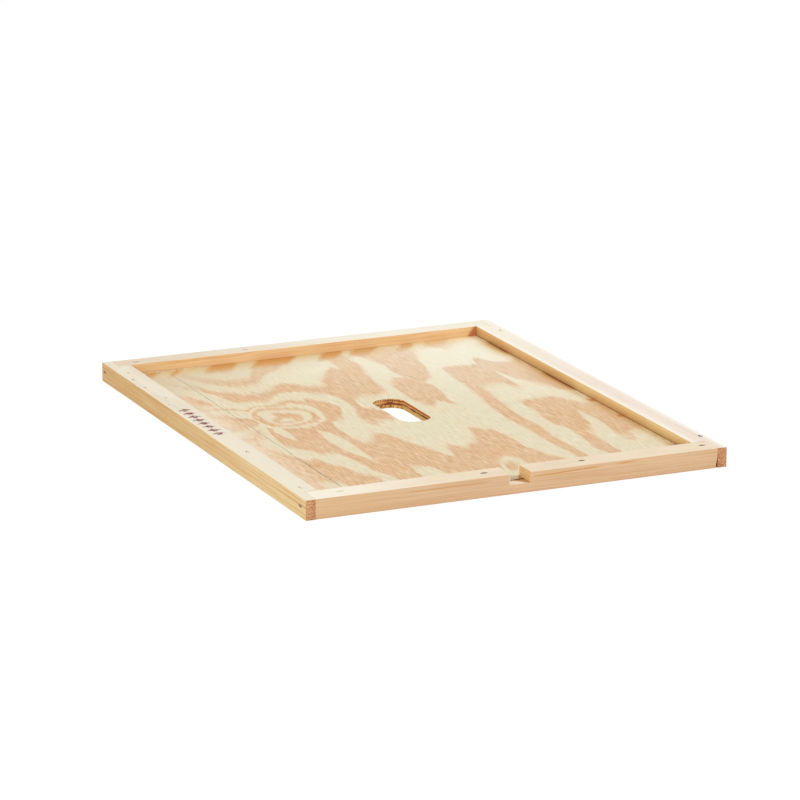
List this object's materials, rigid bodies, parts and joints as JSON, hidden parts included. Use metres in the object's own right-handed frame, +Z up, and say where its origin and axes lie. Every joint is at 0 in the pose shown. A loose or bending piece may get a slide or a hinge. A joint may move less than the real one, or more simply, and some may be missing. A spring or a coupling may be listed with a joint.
{
  "type": "hive inner cover",
  "caption": "Shallow rectangular pine tray with a plywood panel flush below, an oblong escape slot in the panel and an entrance notch in the front rim.",
  "frame": {"origin": "middle of the cover's outline, on the flat plane of its underside", "axes": "+Z up from the underside to the rim's top, +Y along the long side from the entrance notch to the back, +X across"},
  "size_m": [0.4128, 0.5048, 0.0184],
  "materials": {
    "side_rail_pine": "planed, unfinished pine",
    "end_rail_pine": "planed, unfinished pine",
    "face_veneer": "sanded rotary-cut softwood veneer",
    "core_veneer": "rough cross-laid softwood veneer",
    "back_veneer": "sanded rotary-cut softwood veneer",
    "staple_steel": "galvanised wire"
  },
  "bodies": {
    "root": {"left_side_rail": "side_rail_pine", "right_side_rail": "side_rail_pine", "front_end_rail": "end_rail_pine", "back_end_rail": "end_rail_pine", "panel_face_veneer": "face_veneer", "panel_core_veneer": "core_veneer", "panel_back_veneer": "back_veneer", "staple_front_1": "staple_steel", "staple_front_2": "staple_steel", "staple_front_3": "staple_steel", "staple_front_4": "staple_steel", "staple_back_1": "staple_steel", "staple_back_2": "staple_steel", "staple_left_1": "staple_steel", "staple_left_2": "staple_steel", "staple_left_3": "staple_steel", "staple_right_1": "staple_steel", "staple_right_2": "staple_steel", "corner_staple_front_left": "staple_steel", "corner_staple_back_left": "staple_steel", "corner_staple_front_right": "staple_steel", "corner_staple_back_right": "staple_steel"}
  },
  "joints": []
}
